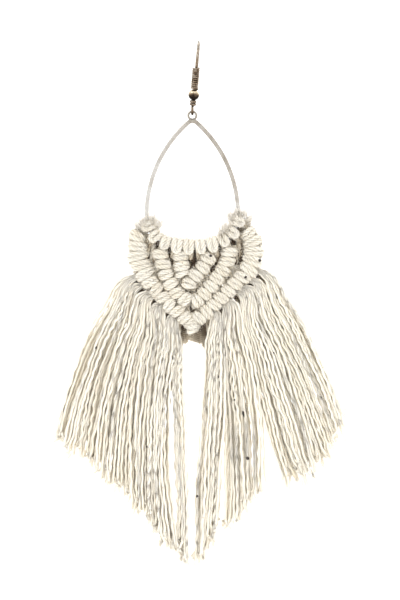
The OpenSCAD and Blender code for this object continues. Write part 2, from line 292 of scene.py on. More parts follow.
def makeTubes(name, runs, section, material, body="drop"):
    # runs: points from the loop and radii, both in mm, and tone, which is a number or one for each point.
    # Each end closes to a point, and the tone falls towards the middle of the depth, a painted shade for the
    # shade that lies there
    sides = sections[section][0]
    profile = makeSection(section)
    curve = bpy.data.curves.new(name, "CURVE")
    curve.dimensions = "3D"
    curve.bevel_mode = "OBJECT"
    curve.bevel_object = profile
    counts, lengths, tones = [], [], []
    for points, radii, tone in runs:
        shades = forEach(tone, len(points))
        if radii[0] > 0:
            first = points[0] + (points[0] - points[1]).normalized() * radii[0] * tubeLook["cap"]
            last = points[-1] + (points[-1] - points[-2]).normalized() * radii[-1] * tubeLook["cap"]
            points = [first, *points, last]
            radii = [0, *radii, 0]
            shades = [shades[0], *shades, shades[-1]]
        spline = curve.splines.new("POLY")
        spline.points.add(len(points) - 1)
        spline.points.foreach_set("co", [value for p in points for value in (*(loopAt + p * mm), 1)])
        spline.points.foreach_set("radius", [radius * mm for radius in radii])
        counts.append(len(points) * sides)
        lengths.append(sum((b - a).length for a, b in zip(points, points[1:])))
        for p, shade in zip(points, shades):
            fromMiddle = min(abs(p.y), cottonLook["shadeDepth"]) - cottonLook["shadeDepth"] / 2
            tones.append(shade + cottonLook["paintedDepthShade"] * fromMiddle)
    path = linkPiece(name + "Path", curve)
    mesh = bpy.data.meshes.new_from_object(path.evaluated_get(bpy.context.evaluated_depsgraph_get()))
    bpy.data.objects.remove(path)
    bpy.data.objects.remove(profile)
    mesh.name = name
    corners = np.zeros(len(mesh.loops), np.int32)
    mesh.loops.foreach_get("vertex_index", corners)
    uv = np.zeros(len(mesh.loops) * 2, np.float32)
    mesh.uv_layers[0].data.foreach_get("uv", uv)
    uv[::2] *= np.repeat(lengths, counts)[corners]  # along the yarn in mm, so that every ply has one pitch
    mesh.uv_layers[0].data.foreach_set("uv", uv)
    tone = mesh.attributes.new("tone", "FLOAT", "POINT")
    tone.data.foreach_set("value", np.repeat(tones, sides).astype(np.float32))
    work = bmesh.new()
    work.from_mesh(mesh)
    bmesh.ops.remove_doubles(work, verts=work.verts, dist=tubeLook["weld"])
    work.to_mesh(mesh)
    work.free()
    mesh.polygons.foreach_set("use_smooth", [True] * len(mesh.polygons))
    mesh.materials.clear()
    mesh.materials.append(materials[material])
    pieces[name] = linkPiece(name, mesh)
    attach(pieces[name], body)
    print(name, len(mesh.polygons), "faces")
    return pieces[name]


def evenPath(points, step):
    # a smooth path through a few points, at even steps
    cuts = 12
    fine = []
    last = len(points) - 1
    for i in range(last):
        a, b, c, d = points[max(i - 1, 0)], points[i], points[i + 1], points[min(i + 2, last)]
        for k in range(cuts):
            f = k / cuts
            fine.append(b + (c - a + (2 * a - 5 * b + 4 * c - d + (3 * (b - c) + d - a) * f) * f) * (f / 2))
    fine.append(points[-1])
    runs = [0]
    for a, b in zip(fine, fine[1:]):
        runs.append(runs[-1] + (b - a).length)
    count = max(2, round(runs[-1] / step))
    path = []
    k = 0
    for i in range(count + 1):
        way = runs[-1] * i / count
        while k < len(runs) - 2 and runs[k + 1] < way:
            k += 1
        path.append(fine[k].lerp(fine[k + 1], (way - runs[k]) / max(1e-9, runs[k + 1] - runs[k])))
    return path


cordLook = {
    "yarns": 5,
    "ring": 0.60, "yarn": 0.42,  # where the yarns lie and the radius of each, as shares of the cord's radius
    "lay": (4.6, 6.0),  # length of cord to a full turn of its yarns
    "wander": 0.15, "wanderRate": 1.7, "pulse": 0.08, "pulseRate": 2.3,  # how far and how often a yarn strays
    "uneven": (0.94, 1.06), "toneSpread": 0.32,
}


def layCord(path, radius, tone):
    # the yarns of a cord that follows path; tone is a number or one for each point
    look = cordLook
    tones = forEach(tone, len(path))
    side = (path[1] - path[0]).orthogonal().normalized()
    lay = random.uniform(*look["lay"])
    start = random.uniform(0, 2 * math.pi)
    rings = []
    way = 0
    for i, point in enumerate(path):
        ahead = (path[min(i + 1, len(path) - 1)] - path[max(i - 1, 0)]).normalized()
        side = (side - ahead * side.dot(ahead)).normalized()
        if i:
            way += (point - path[i - 1]).length
        rings.append((point, side.copy(), ahead.cross(side), way))
    runs = []
    for k in range(look["yarns"]):
        wander = random.uniform(0, 2 * math.pi)
        points = []
        for point, across, up, way in rings:
            angle = start + 2 * math.pi * (k / look["yarns"] + way / lay)
            angle += look["wander"] * math.sin(way * look["wanderRate"] + wander)
            pulse = look["pulse"] * math.sin(way * look["pulseRate"] + wander * 3)
            reach = look["ring"] * radius * (1 + pulse)
            points.append(point + (across * math.cos(angle) + up * math.sin(angle)) * reach)
        thick = look["yarn"] * radius * random.uniform(*look["uneven"])
        off = random.uniform(-1, 1) * look["toneSpread"]
        runs.append((points, [thick] * len(points), [value + off for value in tones]))
    return runs


def fromLoop(x, z, y=0.0):
    # across, up and back from the loop, in mm
    return Vector((x, y, z))


# Rows of knots: the cords are wound round a leader, two turns to a knot

arms = {  # course of each arm, across and up from the loop in mm
    "outerLeft": [(-14.56, -33.01), (-15.2, -34.61), (-15.39, -38.46), (-14.44, -42.6), (-12.35, -46.15),
                  (-9.69, -49.4), (-6.84, -52.51), (-3.42, -55.47), (0, -57.98)],
    "outerRight": [(14.86, -32.1), (16.15, -34.02), (17.1, -37.57), (16.72, -41.12), (14.63, -44.37),
                   (11.97, -47.33), (9.12, -50.14), (6.46, -52.66), (3.42, -55.32), (0, -57.98)],
    "middleLeft": [(-8.5, -37.6), (-7.79, -41.12), (-6.84, -44.67), (-5.04, -47.92), (-2.94, -50.29),
                   (-0.59, -51.7)],
    "middleRight": [(10.3, -37.2), (8.74, -41.12), (7.5, -44.08), (5.61, -46.74), (3.33, -49.25),
                    (1.14, -51.18), (-0.59, -51.7)],
    "innerLeft": [(-3.4, -38.2), (-3.2, -41.2), (-2.8, -43.6), (-2.4, -45.2)],
    "innerRight": [(5.3, -39.1), (2.85, -42.4), (1.0, -44.8), (-0.7, -46.7), (-1.1, -48.5)],
}
rowLook = {
    "cord": 0.80,  # radius of the cord
    "across": 1.30, "deep": 1.16,  # reach of a turn round the leader, to the middle of the cord
    "acrossSpread": (0.96, 1.06), "deepSpread": (0.94, 1.08), "cordSpread": (0.96, 1.04),
    "turn": 1.36,  # one turn to the next
    "pairs": 0.02, "pinch": 0.46,  # how far the two turns of a knot close up: all along and at its ends
    "tilt": 0.34, "lift": 0.24,  # how unevenly the knots lie: along the arm and across it
    "bulge": 0.15,  # how much larger a knot is in its middle
    "fanned": 0.5, "fanCord": 0.12,  # share of the arm that fans out, and how much thicker its cord gets
    "tone": (0.38, 0.66),
    "step": 0.55, "armStep": 0.2,
    "places": 16, "tails": 4,  # on each turn, and past each end of a knot
}
armPaths = {}
for name, course in arms.items():
    armPaths[name] = evenPath([fromLoop(x, z) for x, z in course], rowLook["armStep"])


def armFrame(path, share, side):
    # place on an arm, the way along it and the way across it towards the frame
    k = min(max(share, 0), 0.9999) * (len(path) - 1)  # never the last point, as one more is used
    i = int(k)
    ahead = (path[min(i + 2, len(path) - 1)] - path[max(i - 1, 0)]).normalized()
    return path[i].lerp(path[i + 1], k - i), ahead, Vector((-ahead.z, 0, ahead.x)) * side


def knotRow(name, side, fan, short, shift):
    look = rowLook
    path = armPaths[name]
    whole = (path[1] - path[0]).length * (len(path) - 1)
    total = whole - short
    turns = round(total / look["turn"])
    pitch = total / turns
    runs = []
    for knot in range((turns + 1) // 2):
        wraps = min(2, turns - 2 * knot)
        middle = (2 * knot + wraps / 2) * pitch
        swell = fan * math.sin(min(1, middle / total / look["fanned"]) * math.pi)
        across = (look["across"] + swell) * random.uniform(*look["acrossSpread"])
        deep = look["deep"] * random.uniform(*look["deepSpread"])
        tilt = random.uniform(-look["tilt"], look["tilt"])
        lift = random.uniform(-look["lift"], look["lift"])
        control = []
        last = wraps * look["places"]
        for q in range(-look["tails"], last + look["tails"] + 1):
            angle = math.pi * (1.5 - 2 * q / look["places"])  # from behind the leader, over it and back
            closed = 1 - look["pairs"] - look["pinch"] * math.cos(angle) ** 2
            fromMiddle = (q / last - 0.5) * wraps * closed
            here, ahead, inward = armFrame(path, (middle + fromMiddle * pitch) / whole, side)
            bulge = 1 + look["bulge"] * math.cos(fromMiddle * math.pi / wraps)
            swing = math.cos(angle)
            reach = inward * (swing * across * bulge + lift + shift) + ahead * tilt * swing
            control.append(here + reach + Vector((0, -math.sin(angle) * deep * bulge, 0)))
        thick = look["cord"] * (1 + look["fanCord"] * swell) * random.uniform(*look["cordSpread"])
        runs += layCord(evenPath(control, look["step"]), thick, random.uniform(*look["tone"]))
    return runs


# rows of a node: arm, side of the arm that faces the frame, how far its upper half fans out, how far it stops
# short of the point and how far it is shifted towards the frame
rowPlans = {
    "innerRows": ("inner_chevron", [("innerLeft", 1, 0, 0.2, 0), ("innerRight", -1, 0, 0, 0)]),
    "middleRows": ("middle_chevron", [("middleLeft", 1, 0, 0, -0.45), ("middleRight", -1, 0, 0.4, -0.4)]),
    "outerRowLeft": ("fringe_left", [("outerLeft", 1, 0.6, 0, 0.35)]),
    "outerRowRight": ("fringe_right", [("outerRight", -1, 0.6, 1.1, 0.35)]),
}
for name, (node, plan) in rowPlans.items():
    runs = []
    for arm, side, fan, short, shift in plan:
        runs += knotRow(arm, side, fan, short, shift)
    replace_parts(makeTubes(name, runs, "yarn", "cord"), node)
print("rows of knots done")

# Mounting knots: two turns of cord over the band and a bar across the front
mounting = {
    # place across and up from the loop, turn in degrees and radius of the cord
    "knots": [(-11.79, -31.46, -67.5, 0.63), (-10.0, -34.12, -44.4, 0.63), (-7.31, -35.85, -21.3, 0.63),
              (-4.18, -36.63, -9.6, 0.71), (-0.97, -36.96, -2.2, 0.71), (2.25, -36.88, 5.2, 0.71),
              (5.43, -36.38, 12.5, 0.71), (8.45, -35.3, 30.4, 0.63), (10.83, -33.16, 53.5, 0.63),
              (12.18, -30.25, 76.6, 0.63)],
    "band": 0.73, "apart": 0.69, "swell": 1.22,
    "tail": (0.85, 3.4, 0.6),  # end of the tail: share of apart, and outwards and back in mm
    "apartSpread": (0.94, 1.1), "loose": 0.1,  # how uneven they lie
    "tone": (0.5, 0.75),
    "paintedTailShade": 0.9, "tailLength": 3.6,  # painted shade: how much darker the tails get where they run in under the rows, and over what length
    # half of the knot from its bar to its tail: along the band, outwards and back, in shares of its reach
    "course": [(0.0, 1.12, -1.2), (0.75, 0.92, -1.16), (1.0, 0.42, -1.12), (1.0, -0.35, -1.02),
               (1.0, -0.98, -0.4), (1.0, -0.98, 0.4), (1.0, -0.3, 1.0), (1.0, 0.6, 0.9), (0.96, 1.1, 0.35),
               (0.9, 1.6, 0.2)],
}
for number, (x, z, turn, thick) in enumerate(mounting["knots"], 1):
    angle = math.radians(turn) + random.uniform(-1, 1) * mounting["loose"]
    along = Vector((math.cos(angle), 0, math.sin(angle)))
    out = Vector((math.sin(angle), 0, -math.cos(angle)))
    reach = mounting["band"] + thick
    halves = []
    for half in (-1, 1):
        apart = along * half * mounting["apart"] * random.uniform(*mounting["apartSpread"])
        points = []
        for a, o, y in mounting["course"]:
            off = random.uniform(-1, 1) * mounting["loose"]
            points.append(apart * (a + off) + out * ((o + off) * reach) + Vector((0, y * reach, 0)))
        a, o, y = mounting["tail"]
        points.append(apart * a + out * o + Vector((0, y, 0)))
        halves.append([fromLoop(x, z) + point for point in points])
    cord = evenPath(halves[0][::-1] + halves[1][1:], rowLook["step"])
    tone = random.uniform(*mounting["tone"])
    tones = []
    for i in range(len(cord)):
        fromEnd = min(i, len(cord) - 1 - i) * rowLook["step"]
        tones.append(tone - mounting["paintedTailShade"] * max(0, 1 - fromEnd / mounting["tailLength"]))
    runs = layCord(cord, thick * mounting["swell"], tones)
    piece = makeTubes("mountingKnot%d" % number, runs, "yarn", "cord")
    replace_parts(piece, "mounting_knot_%d" % number)

# Bare cords that run from knot to knot behind the rows
bareCords = {
    "radius": 0.70, "step": 0.6,
    # from an arm to another: shares where they start and stop on each, and how many cords
    "between": [("outerLeft", "middleLeft", (0.36, 0.97), (0.1, 0.98), 12),
                ("outerRight", "middleRight", (0.40, 0.93), (0.1, 0.95), 12),
                ("middleLeft", "innerLeft", (0.35, 0.95), (0.3, 0.95), 6),
                ("middleRight", "innerRight", (0.38, 0.92), (0.35, 0.9), 6)],
    "places": (0.2, 0.8),  # of each cord within its own share of the arm
    "deep": (0.75, 1.15), "sag": (0.15, -0.3),  # at its ends, and how much further back and down half way
    # these tones and those of the free cords below lie under the knots' tones: painted shade behind the rows
    "tone": (0.2, 0.42),
    "free": [  # places from top to bottom, across and up from the loop
        [(-12.6, -33.4), (-13.4, -37.5), (-14.0, -40.5)], [(-11.4, -35.4), (-12.3, -39), (-12.8, -43)],
        [(-10.4, -36.4), (-11.2, -41), (-11.4, -45)], [(-9.3, -37.6), (-10.0, -42), (-9.6, -46.5)],
        [(13.2, -33.2), (14.4, -37), (15.2, -40.5)], [(12.4, -35.2), (13.1, -39), (13.9, -43)],
        [(11.4, -36.6), (11.9, -41), (12.3, -44.6)], [(10.9, -37.6), (10.7, -41.8), (10.6, -45.6)],
    ],
    "freeDeep": (0.7, 1.2, 1.5),
    "freeTone": (-0.1, 0.4),
}
runs = []
for outer, inner, outerSpan, innerSpan, count in bareCords["between"]:
    for k in range(count):
        share = (k + random.uniform(*bareCords["places"])) / count
        a = armFrame(armPaths[outer], outerSpan[0] + share * (outerSpan[1] - outerSpan[0]), 1)[0]
        b = armFrame(armPaths[inner], innerSpan[0] + share * (innerSpan[1] - innerSpan[0]), 1)[0]
        deep = random.uniform(*bareCords["deep"])
        back, down = bareCords["sag"]
        half = b.lerp(a, 0.5) + Vector((0, deep + back, down))
        control = [b + Vector((0, deep, 0)), half, a + Vector((0, deep, 0))]
        tone = random.uniform(*bareCords["tone"])
        runs += layCord(evenPath(control, bareCords["step"]), bareCords["radius"], tone)
for places in bareCords["free"]:
    control = [fromLoop(x, z, y) for (x, z), y in zip(places, bareCords["freeDeep"])]
    tone = random.uniform(*bareCords["freeTone"])
    runs += layCord(evenPath(control, bareCords["step"]), bareCords["radius"], tone)
makeTubes("bareCords", runs, "yarn", "cord")

# Cords that close the holes of the knotwork: dark ones that paint the shade in the holes, and pale ones at the
# back
holeCords = {
    "radius": 0.78, "loose": 0.15, "looseUp": 5,  # how unevenly they lie, and how much more so up and down
    # tone, and depth and shift of each layer
    "layers": {"shadedCords": ((-0.9, -0.6), [(1.3, 0)]), "backCords": ((0.1, 0.5), [(2.2, 0), (2.7, 0.8)])},
    "runs": [[(-1.6, -37.6), (-1.3, -41), (-0.9, -46)], [(0.1, -37.4), (0.3, -41), (0.1, -46)],
             [(1.6, -37.4), (1.8, -40.6), (0.9, -46)], [(3.0, -36.8), (3.2, -40.4), (2.2, -44)],
             [(-3.4, -36.6), (-3.4, -39.5), (-3.0, -42)], [(4.6, -36.2), (4.6, -39), (4.2, -42)],
             [(1.8, -43.6), (2.8, -46.2), (2.4, -48.6)], [(-8.7, -34.4), (-9.1, -37), (-9.1, -40)],
             [(12.0, -30.4), (12.9, -32.6), (13.4, -35)],
             [(-5.2, -37.2), (-5.0, -41.5), (-4.0, -47.4)], [(-6.6, -37.2), (-6.1, -41.5), (-5.0, -47.4)],
             [(6.2, -36.8), (6.1, -40.5), (4.9, -46.2)], [(7.6, -36.4), (7.2, -40.5), (6.2, -45)],
             [(-11.9, -33.6), (-12.5, -37.6), (-12.3, -42)], [(-13.1, -33.4), (-13.5, -36.6), (-13.4, -40)],
             [(-9.8, -35), (-10.4, -37.6), (-10.4, -41)], [(-8.4, -36.4), (-9.1, -38.8), (-9.2, -42)],
             [(12.4, -32.4), (12.8, -35.4), (13.4, -41)], [(13.4, -32.4), (14.1, -35.2), (14.6, -39.4)],
             [(9.2, -35), (10.2, -37.6), (10.5, -41)], [(10.9, -34.6), (11.4, -37.6), (12.0, -41.5)],
             [(12.6, -38.4), (13.2, -41), (13.2, -45)], [(8.6, -41), (9.4, -44), (9.6, -48)],
             [(-2.0, -44.2), (-1.7, -48.4), (-1.5, -51.4)], [(-0.7, -44.2), (-0.6, -48.6), (-0.6, -52)],
             [(0.6, -44.2), (0.6, -48.6), (0.3, -51.4)], [(-1.4, -51.6), (-1.1, -54.4), (-0.7, -57.6)],
             [(0.1, -51.6), (0.1, -54.4), (0.1, -57.6)]],
}
for name, (tones, layers) in holeCords["layers"].items():
    runs = []
    for deep, shift in layers:
        for places in holeCords["runs"]:
            off = random.uniform(-1, 1) * holeCords["loose"]
            up = off * holeCords["looseUp"]
            control = [fromLoop(x + shift + off, z + up, deep + off) for x, z in places]
            tone = random.uniform(*tones)
            runs += layCord(evenPath(control, bareCords["step"]), holeCords["radius"], tone)
    makeTubes(name, runs, "yarn", "cord")

# Tip knot: the two leaders tied under the point
tipKnot = {
    "at": (0.1, -58.7), "across": 1.25, "up": 0.95, "deep": 1.55, "forward": 0.3,
    "lean": 0.35, "taper": 0.22,  # of the turns above and below the middle one
    "places": 16, "overlap": 3,  # on each turn, and how many of them it goes on past its start
    "radius": 0.82, "step": 0.5, "tone": 0.7,
}
runs = []
for turn in (-1, 0, 1):
    lean = Euler((0, tipKnot["lean"] * turn, 0)).to_matrix()
    control = []
    girth = 1 - tipKnot["taper"] * abs(turn)
    middle = fromLoop(*tipKnot["at"])
    for q in range(tipKnot["places"] + tipKnot["overlap"]):
        a = 2 * math.pi * q / tipKnot["places"]
        flat = Vector((tipKnot["across"] * math.cos(a), -tipKnot["deep"] * math.sin(a), 0)) * girth
        control.append(middle + lean @ flat + Vector((0, -tipKnot["forward"], tipKnot["up"] * turn)))
    runs += layCord(evenPath(control, tipKnot["step"]), tipKnot["radius"], tipKnot["tone"])
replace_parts(makeTubes("tipKnot", runs, "yarn", "cord"), "fringe_left")
print("knotwork done")

# Fringe: each lock is a few cords combed out into their yarns
fringe = {
    "yarns": 25, "layers": 4, "thick": 0.37, "step": 0.8,
    "uneven": 0.09, "unevenRate": 1.9,  # how far and how often a yarn gets thicker and thinner
    "stagger": 0.5, "edge": 0.1, "columnSpread": 0.3, "layerSpread": 0.2,  # where the yarns lie in a lock
    "crimp": 0.11, "crimpSpread": (0.5, 1.6), "crimpGrow": 0.3, "crimpFrom": 0.2,
    "crimpPitch": 3.5, "pitchSpread": (0.7, 1.5), "pitchWander": 0.8,
    "sway": 0.12, "swayPitch": 17, "swaySpread": 0.3,
    "stray": 0.17, "strayRuns": (11, 9, 6, 5),  # lengths over which place, crimp and its pitch change
    "phases": (0, 6),
    "deep": 3.3, "bellyDeep": 0.3,  # depth of a lock, and the share of it that comes and goes with the belly
    "lay": 0.8,  # how much further back each second lock lies
    "root": 0.5, "rootDeep": 0.5,  # half width of the root, and how far back it lies
    "opening": 0.27, "fullWidth": 0.55,  # shares of the length where the yarns part and where the lock is wide
    "backOpening": 0.6, "backRoot": 0.8,  # how much sooner and wider the back of a lock opens
    "ragged": 1.5, "raggedSpread": (-1, 0.8),
    "tone": (0.3, 0.75), "paintedRootShade": 1.7, "shadeFrom": 0.6,
    "archUp": 40, "archOut": 20, "archLength": 16,  # how the front of each lock leaves the row
    "slant": 2.2, "curl": 0.9, "curled": 0.94,  # cut of a lock, reach of the curls and where they start
    # root, jut, belly and foot of each lock, across and up from the loop in mm, and its width at the foot
    "left": [((-13.46, -44.5), (-22.52, -50.13), (-30.81, -72.34), (-34.96, -90.52), 6.2),
             ((-11.77, -46.93), (-19.26, -52.74), (-26.86, -75.62), (-28.84, -94.35), 6.2),
             ((-9.5, -49.6), (-16.32, -55.01), (-22.52, -79.45), (-23.3, -99.45), 5.9),
             ((-8.9, -50.3), (-14.61, -56.38), (-18.96, -82.52), (-18.17, -103.92), 5.7),
             ((-6.5, -52.8), (-12.59, -57.93), (-15.01, -86.03), (-13.43, -109.02), 5.4),
             ((-5.8, -53.45), (-10.09, -59.69), (-11.46, -89.28), (-9.09, -113.48), 4.9),
             ((-2.8, -55.9), (-7.67, -61.17), (-11.2, -92.4), (-5.92, -117.95), 4.3),
             ((-2.1, -56.4), (-6.4, -61.7), (-1.9, -94.74), (-2.6, -121.78), 3.0)],
    "right": [((15.88, -42.69), (25.06, -48.87), (33.97, -69.67), (39.9, -86.69), 5.1),
              ((13.83, -45.34), (21.26, -51.85), (30.41, -74.87), (36.34, -93.71), 5.4),
              ((11.5, -47.8), (18.58, -54.14), (26.46, -78.01), (32.0, -97.54), 5.7),
              ((10.6, -48.7), (15.89, -55.68), (20.93, -79.4), (27.25, -98.81), 5.9),
              ((7.4, -51.8), (13.12, -57.25), (16.98, -83.62), (16.59, -105.19), 5.9),
              ((6.6, -52.5), (10.99, -58.67), (12.24, -87.42), (11.85, -110.93), 5.4),
              ((3.8, -55.0), (9.6, -59.76), (5.8, -90.01), (4.6, -116.0), 4.2),
              ((3.1, -55.6), (8.4, -60.27), (2.37, -93.05), (2.77, -119.86), 4.0)],
}


def onBezier(points, t):
    a, b, c, d = points
    s = 1 - t
    here = a * s ** 3 + b * (3 * t * s * s) + c * (3 * t * t * s) + d * t ** 3
    ahead = (b - a) * (s * s) + (c - b) * (2 * s * t) + (d - c) * (t * t)
    return here, ahead.normalized()


def lockYarns(shape, index):
    look = fringe
    root, jut, belly, foot, width = shape
    points = [fromLoop(*root, look["rootDeep"]), fromLoop(*jut), fromLoop(*belly), fromLoop(*foot)]
    places = [onBezier(points, i / 20)[0] for i in range(21)]
    length = sum((b - a).length for a, b in zip(places, places[1:]))
    back = (index % 2 - 0.5) * look["lay"]
    acrossRun, depthRun, crimpRun, pitchRun = look["strayRuns"]
    phase = random.uniform(*look["phases"])
    runs = []
    ends = []
    for k in range(look["yarns"]):
        layer = k % look["layers"]
        column = k // look["layers"] + look["edge"] + look["stagger"] * (layer % 2)
        column += random.uniform(0, look["columnSpread"])
        u = column / (look["yarns"] / look["layers"] - look["edge"]) * 2 - 1  # across the lock, from -1 to 1
        v = layer / (look["layers"] - 1) * 2 - 1  # from its front to its back, from -1 to 1
        v += random.uniform(-look["layerSpread"], look["layerSpread"])
        u = max(-1, min(1, u))
        v = max(-1, min(1, v))
        drift = [random.uniform(*look["phases"]) for _ in range(4)]
        pitch = look["crimpPitch"] * random.uniform(*look["pitchSpread"])
        crimp = look["crimp"] * random.uniform(*look["crimpSpread"])
        own = random.uniform(*look["phases"])
        ragged = random.uniform(*look["raggedSpread"]) * look["ragged"]
        reach = 1 + (ragged + math.copysign(look["slant"], foot[0]) * u) / length
        curl = scatter(look["curl"])
        early = max(0, v)  # the back of a lock opens at once, in the shade of its front
        opening = look["opening"] * (1 - look["backOpening"] * early)
        narrow = look["root"] * (1 + look["backRoot"] * early)
        arch = Vector((math.copysign(look["archOut"], foot[0]), 0, look["archUp"])) * (1 - early)
        arch *= min(1, (index + 2) / 4)  # the outer locks lie flat on the shoulder
        count = int(length * reach / look["step"])
        line, radii, tones = [], [], []
        # painted shade on the back yarns near the root, between the bundles
        shade = look["paintedRootShade"] * min(1, max(0, v + look["shadeFrom"]))
        tone = random.uniform(*look["tone"])
        for i in range(count + 1):
            t = reach * i / count
            here, ahead = onBezier(points, min(t, 1))
            here += ahead * (max(0, t - 1) * length)
            way = t * length
            side = Vector((ahead.z, 0, -ahead.x))
            combed = min(1, t / opening)
            combed = combed * combed * (3 - 2 * combed)
            opened = (width / 2 - look["edge"]) * (0.5 + 0.5 * min(1, t / look["fullWidth"]))
            wide = narrow * (1 - combed) + opened * combed
            rise = min(1, way / look["archLength"])
            here += arch * (rise * (1 - rise)) ** 2
            here += curl * (max(0, t / reach - look["curled"]) / (1 - look["curled"])) ** 2
            full = math.sin(math.pi * min(t, 1))
            deep = look["deep"] / 2 * (1 - look["bellyDeep"] + look["bellyDeep"] * full)
            deep = look["root"] * (1 - combed) + deep * combed
            a = u + look["stray"] * combed * math.sin(way / acrossRun + drift[0])
            b = v + look["stray"] * combed * math.sin(way / depthRun + drift[1])
            grow = crimp * min(1, t / look["crimpFrom"])
            grow *= 1 + look["crimpGrow"] * math.sin(way / crimpRun + drift[2])
            turn = 2 * math.pi * way / pitch + own
            turn += look["pitchWander"] * math.sin(way / pitchRun + drift[3])
            sway = 2 * math.pi * way / look["swayPitch"] + phase + look["swaySpread"] * drift[3]
            ripple = grow * math.cos(turn) + look["sway"] * min(1, 2 * t) * math.sin(sway)
            forth = back * min(1, 2 * t) + b * deep + grow * math.sin(turn)
            line.append(here + side * (a * wide + ripple) + Vector((0, forth, 0)))
            swell = look["uneven"] * math.sin(way * look["unevenRate"] + drift[1])
            radii.append(look["thick"] * (1 + swell))
            tones.append(tone - shade * max(0, 1 - way / look["archLength"]))
        runs.append((line, radii, tones))
        ends.append((line[-1], (line[-1] - line[-3]).normalized(), tone))
    return runs, ends


yarnEnds = []
for node, group in (("fringe_left", "left"), ("fringe_right", "right")):
    for part, picked in (("Outer", range(0, 4)), ("Inner", range(4, 8))):
        runs = []
        for index in picked:
            more, ends = lockYarns(fringe[group][index], index)
            runs += more
            yarnEnds += ends
        name = "fringe" + group.capitalize() + part
        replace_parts(makeTubes(name, runs, "yarn", "yarn"), node)

# Short dark yarns that paint the shade under the tip, with a paler layer behind
tipShade = {
    "yarns": 19, "reach": 4.3, "gathered": 0.7, "layers": (0, 0.7), "deep": 1.5,
    "from": -56.6, "fromSpread": 0.8, "to": -62.4, "toSpread": 0.5, "fall": 0.2,
    "tone": (-1.1, -0.4),
}
runs = []
for k in range(tipShade["yarns"]):
    x = (2 * k / (tipShade["yarns"] - 1) - 1) * tipShade["reach"]
    for back in tipShade["layers"]:
        deep = tipShade["deep"] + back
        end = tipShade["to"] - tipShade["fall"] * x * x
        end += random.uniform(-tipShade["toSpread"], tipShade["toSpread"])
        start = tipShade["from"] + random.uniform(-tipShade["fromSpread"], tipShade["fromSpread"])
        control = [fromLoop(x * tipShade["gathered"], start, deep), fromLoop(x, end, deep)]
        path = evenPath(control, fringe["step"])
        tones = list(np.linspace(*tipShade["tone"], len(path)) + back)
        runs.append((path, [fringe["thick"]] * len(path), tones))
makeTubes("tipShade", runs, "yarn", "yarn")


# Fibres: cut ends that fray, loose fibres that stand off the cotton, and tufts over the shoulders

fibreTaper = 0.3  # how much of its thickness a fibre loses on its way


def strayFibre(here, aim, length, thick, tone, wander, drop=0.0, steps=3):
    line = [here]
    for _ in range(steps):
        aim = (aim + scatter(wander) - Vector((0, 0, drop))).normalized()
        here = here + aim * length / steps
        line.append(here)
    radii = [thick * (1 - fibreTaper * i / steps) for i in range(1, steps)]
    return line, [0] + radii + [0], tone


fray = {
    "fibres": 8, "thick": 0.055, "length": (0.7, 2.0), "from": (0.2, 1.4), "off": 0.2,
    "splay": 0.35, "wander": 0.3, "drop": 0.05, "steps": 4,
}
runs = []
for at, ahead, tone in yarnEnds:
    for _ in range(fray["fibres"]):
        aim = (ahead + scatter(fray["splay"])).normalized()
        here = at - ahead * random.uniform(*fray["from"])
        here += Vector([random.uniform(-fray["off"], fray["off"]) for _ in range(3)])
        length = random.uniform(*fray["length"])
        runs.append(strayFibre(here, aim, length, fray["thick"], tone, fray["wander"], fray["drop"],
                               fray["steps"]))
makeTubes("frayedEnds", runs, "hair", "fluff")

fluff = {
    "knots": {"on": ["Row", "tipKnot"], "count": 11000, "length": (0.5, 1.6), "thick": 0.05, "drop": 0},
    "mounting": {"on": ["mountingKnot"], "count": 3200, "length": (0.5, 1.7), "thick": 0.034, "drop": 0},
    "fringe": {"on": ["fringe"], "count": 4600, "length": (0.8, 2.2), "thick": 0.03, "drop": 0.1},
    "corners": {"on": ["mountingKnot10", "mountingKnot1", "mountingKnot9"], "count": 500,
                "length": (1.0, 2.6), "thick": 0.034, "drop": 0},
}
fluffFibre = {"spread": 0.6, "wander": 0.4, "tone": (0.6, 1)}
for key, look in fluff.items():
    sources = [piece.data for name, piece in pieces.items() if any(part in name for part in look["on"])]
    total = sum(len(mesh.vertices) for mesh in sources)
    runs = []
    for mesh in sources:
        for _ in range(round(look["count"] * len(mesh.vertices) / total)):
            vertex = mesh.vertices[random.randrange(len(mesh.vertices))]
            here = (vertex.co - loopAt) / mm
            aim = (vertex.normal + scatter(fluffFibre["spread"])).normalized()
            length = random.uniform(*look["length"])
            tone = random.uniform(*fluffFibre["tone"])
            runs.append(strayFibre(here, aim, length, look["thick"], tone, fluffFibre["wander"],
                                   look["drop"]))
    makeTubes(key + "Fluff", runs, "hair", "fluff")

tufts = {
    "fibres": 90, "thick": 0.07, "length": (1.4, 3.0), "tone": (0.7, 1.1),
    "spread": 0.6, "front": 1.9,  # where the fibres of a tuft start
    "point": 0.35, "splay": 0.4, "wander": 0.12,  # how they come together and part again
    # foot of each tuft across and up from the loop, and where it points, in degrees from upright
    "places": [(-13.6, -32.2, -52), (-12.9, -31.2, -30), (-11.9, -30.6, -8), (-10.7, -30.9, 12),
               (-9.7, -31.8, 34), (10.9, -29.9, -32), (12.1, -29.0, -10), (13.3, -29.2, 16),
               (14.6, -30.3, 40), (9.3, -33.1, -20), (7.9, -34.4, -12)],
}
runs = []
for x, z, lean in tufts["places"]:
    aim = Vector((math.sin(math.radians(lean)), 0, math.cos(math.radians(lean))))
    for _ in range(tufts["fibres"]):
        off = scatter(tufts["spread"])
        here = fromLoop(x, z, -tufts["front"] * random.random()) + off
        aimed = (aim * tufts["length"][1] - off * tufts["point"] + scatter(tufts["splay"])).normalized()
        length = random.uniform(*tufts["length"])
        tone = random.uniform(*tufts["tone"])
        runs.append(strayFibre(here, aimed, length, tufts["thick"], tone, tufts["wander"]))
makeTubes("shoulderTufts", runs, "hair", "fluff")
print("fibres done")

